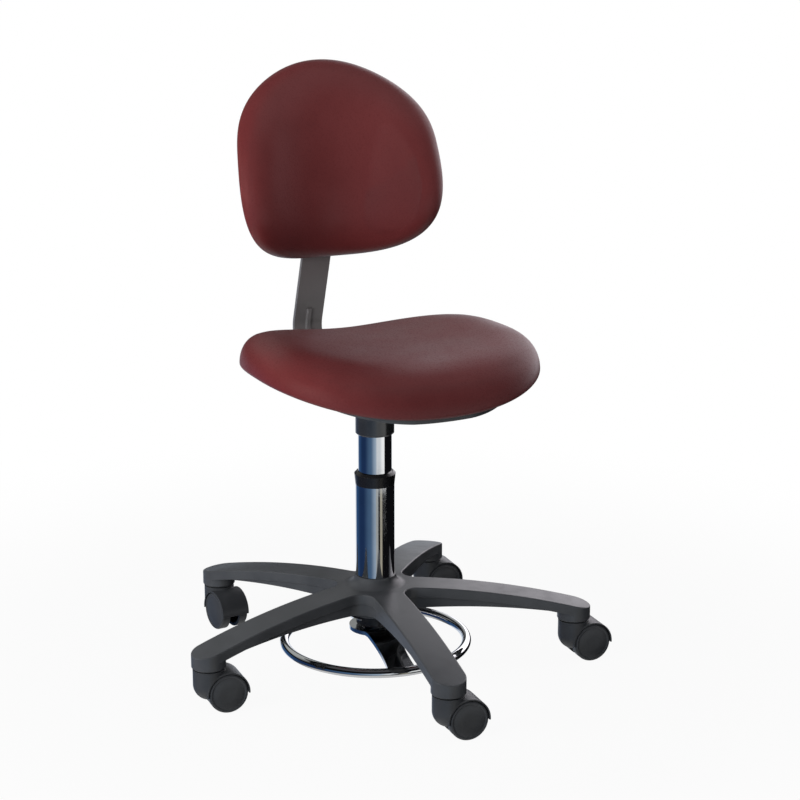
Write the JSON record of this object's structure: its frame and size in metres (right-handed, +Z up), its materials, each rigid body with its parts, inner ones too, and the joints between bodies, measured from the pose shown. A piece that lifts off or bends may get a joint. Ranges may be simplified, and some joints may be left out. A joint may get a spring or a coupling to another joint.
{
  "type": "surgeon stool with backrest",
  "caption": "Surgeon's stool with a dished vinyl seat, wrapped backrest on a bent flat bar, chromed gas-spring column, foot release ring and star base on casters.",
  "frame": {"origin": "on the floor under the axis of the column", "axes": "+Z up along the column, the sitter faces -Y, +X to the sitter's left"},
  "size_m": [0.5597, 0.5195, 0.7656],
  "materials": {
    "burgundy_vinyl": "satin grained vinyl",
    "grey_base_plastic": "satin",
    "black_plastic": "satin",
    "caster_plastic": "satin",
    "chrome": "polished",
    "grey_painted_steel": "satin powder coat",
    "bright_steel": "zinc plated",
    "aluminium": "turned",
    "inner_plastic": "moulded",
    "seal_rubber": "matte",
    "plywood": "unfinished"
  },
  "bodies": {
    "base": {"five_star_base": "grey_base_plastic", "outer_column_tube": "chrome", "column_foot_plate": "bright_steel", "guide_bush": "black_plastic", "release_cup": "black_plastic", "release_cup_screws": "bright_steel", "bearing_lower_race": "bright_steel", "bearing_balls": "bright_steel", "caster_stems": "bright_steel"},
    "foot_ring": {"foot_ring_hoop": "chrome", "foot_ring_crossbar": "chrome", "tilt_disc": "bright_steel", "foot_ring_screw": "bright_steel"},
    "piston_rod": {"piston_rod": "bright_steel", "piston": "aluminium", "piston_seal": "seal_rubber", "rod_clip": "bright_steel", "bearing_upper_race": "bright_steel"},
    "release_pin": {"release_pin": "bright_steel"},
    "seat": {"pressure_cylinder": "bright_steel", "rod_guide": "aluminium", "inner_column_tube": "chrome", "upper_centring_ring": "inner_plastic", "lower_centring_ring": "inner_plastic", "seat_socket": "black_plastic", "seat_mount_plate": "grey_painted_steel", "seat_mount_bolts": "bright_steel", "seat_pan": "grey_base_plastic", "seat_board": "plywood", "seat_cushion": "burgundy_vinyl", "bar_bracket": "grey_painted_steel"},
    "depth_knob": {"depth_knob": "black_plastic"},
    "back_bar": {"back_bar": "grey_painted_steel"},
    "back": {"back_sleeve": "grey_painted_steel", "back_sleeve_screws": "bright_steel", "back_cover": "black_plastic", "back_board": "plywood", "back_cushion": "burgundy_vinyl"},
    "height_knob": {"height_knob": "black_plastic"},
    "caster_1": {"caster_1_housing": "caster_plastic", "caster_1_axle": "bright_steel"},
    "caster_1_wheel_left": {"caster_1_wheel_left": "caster_plastic"},
    "caster_1_wheel_right": {"caster_1_wheel_right": "caster_plastic"},
    "caster_2": {"caster_2_housing": "caster_plastic", "caster_2_axle": "bright_steel"},
    "caster_2_wheel_left": {"caster_2_wheel_left": "caster_plastic"},
    "caster_2_wheel_right": {"caster_2_wheel_right": "caster_plastic"},
    "caster_3": {"caster_3_housing": "caster_plastic", "caster_3_axle": "bright_steel"},
    "caster_3_wheel_left": {"caster_3_wheel_left": "caster_plastic"},
    "caster_3_wheel_right": {"caster_3_wheel_right": "caster_plastic"},
    "caster_4": {"caster_4_housing": "caster_plastic", "caster_4_axle": "bright_steel"},
    "caster_4_wheel_left": {"caster_4_wheel_left": "caster_plastic"},
    "caster_4_wheel_right": {"caster_4_wheel_right": "caster_plastic"},
    "caster_5": {"caster_5_housing": "caster_plastic", "caster_5_axle": "bright_steel"},
    "caster_5_wheel_left": {"caster_5_wheel_left": "caster_plastic"},
    "caster_5_wheel_right": {"caster_5_wheel_right": "caster_plastic"}
  },
  "joints": [
    {"name": "foot_tilt", "type": "hinge", "parent": "base", "child": "foot_ring", "pos_m": [0, -0.0205, 0.0597], "axis": [1, 0, 0], "range_deg": [0, 3], "stiffness_Nm_per_rad": 30},
    {"name": "seat_swivel", "type": "hinge", "parent": "base", "child": "piston_rod", "pos_m": [0, 0, 0.08], "axis": [0, 0, 1], "continuous": true},
    {"name": "release_pin_lift", "type": "slide", "parent": "piston_rod", "child": "release_pin", "axis": [0, 0, 1], "range_m": [0, 0.0015]},
    {"name": "seat_height", "type": "slide", "parent": "piston_rod", "child": "seat", "axis": [0, 0, 1], "range_m": [-0.045, 0.085]},
    {"name": "depth_knob_turn", "type": "hinge", "parent": "seat", "child": "depth_knob", "pos_m": [0, 0.1, 0.342], "axis": [0, 0, 1], "range_deg": [0, 360]},
    {"name": "back_depth", "type": "slide", "parent": "seat", "child": "back_bar", "axis": [0, 1, 0], "range_m": [-0.03, 0.03]},
    {"name": "back_height", "type": "slide", "parent": "back_bar", "child": "back", "axis": [0, 0, 1], "range_m": [-0.03, 0.03]},
    {"name": "height_knob_turn", "type": "hinge", "parent": "back", "child": "height_knob", "pos_m": [0, 0.22, 0.646], "axis": [0, 1, 0], "range_deg": [0, 360]},
    {"name": "caster_1_swivel", "type": "hinge", "parent": "base", "child": "caster_1", "pos_m": [-0.01668, -0.25796, 0.055], "axis": [0, 0, 1], "continuous": true},
    {"name": "caster_1_wheel_left_roll", "type": "hinge", "parent": "caster_1", "child": "caster_1_wheel_left", "pos_m": [0.00281, -0.25864, 0.025], "axis": [0.0349, 0.9994, 0], "continuous": true},
    {"name": "caster_1_wheel_right_roll", "type": "hinge", "parent": "caster_1", "child": "caster_1_wheel_right", "pos_m": [0.00281, -0.25864, 0.025], "axis": [0.0349, 0.9994, 0], "continuous": true},
    {"name": "caster_2_swivel", "type": "hinge", "parent": "base", "child": "caster_2", "pos_m": [0.24018, -0.09558, 0.055], "axis": [0, 0, 1], "continuous": true},
    {"name": "caster_2_wheel_left_roll", "type": "hinge", "parent": "caster_2", "child": "caster_2_wheel_left", "pos_m": [0.25967, -0.09626, 0.025], "axis": [0.0349, 0.9994, 0], "continuous": true},
    {"name": "caster_2_wheel_right_roll", "type": "hinge", "parent": "caster_2", "child": "caster_2_wheel_right", "pos_m": [0.25967, -0.09626, 0.025], "axis": [0.0349, 0.9994, 0], "continuous": true},
    {"name": "caster_3_swivel", "type": "hinge", "parent": "base", "child": "caster_3", "pos_m": [0.16512, 0.19889, 0.055], "axis": [0, 0, 1], "continuous": true},
    {"name": "caster_3_wheel_left_roll", "type": "hinge", "parent": "caster_3", "child": "caster_3_wheel_left", "pos_m": [0.18461, 0.19821, 0.025], "axis": [0.0349, 0.9994, 0], "continuous": true},
    {"name": "caster_3_wheel_right_roll", "type": "hinge", "parent": "caster_3", "child": "caster_3_wheel_right", "pos_m": [0.18461, 0.19821, 0.025], "axis": [0.0349, 0.9994, 0], "continuous": true},
    {"name": "caster_4_swivel", "type": "hinge", "parent": "base", "child": "caster_4", "pos_m": [-0.13813, 0.2185, 0.055], "axis": [0, 0, 1], "continuous": true},
    {"name": "caster_4_wheel_left_roll", "type": "hinge", "parent": "caster_4", "child": "caster_4_wheel_left", "pos_m": [-0.13508, 0.19924, 0.025], "axis": [0.9877, 0.1564, 0], "continuous": true},
    {"name": "caster_4_wheel_right_roll", "type": "hinge", "parent": "caster_4", "child": "caster_4_wheel_right", "pos_m": [-0.13508, 0.19924, 0.025], "axis": [0.9877, 0.1564, 0], "continuous": true},
    {"name": "caster_5_swivel", "type": "hinge", "parent": "base", "child": "caster_5", "pos_m": [-0.25049, -0.06385, 0.055], "axis": [0, 0, 1], "continuous": true},
    {"name": "caster_5_wheel_left_roll", "type": "hinge", "parent": "caster_5", "child": "caster_5_wheel_left", "pos_m": [-0.231, -0.06453, 0.025], "axis": [0.0349, 0.9994, 0], "continuous": true},
    {"name": "caster_5_wheel_right_roll", "type": "hinge", "parent": "caster_5", "child": "caster_5_wheel_right", "pos_m": [-0.231, -0.06453, 0.025], "axis": [0.0349, 0.9994, 0], "continuous": true}
  ],
  "couplings": [
    {"joint": "release_pin_lift", "follows": "foot_tilt", "m_per_rad": 0.0205}
  ]
}
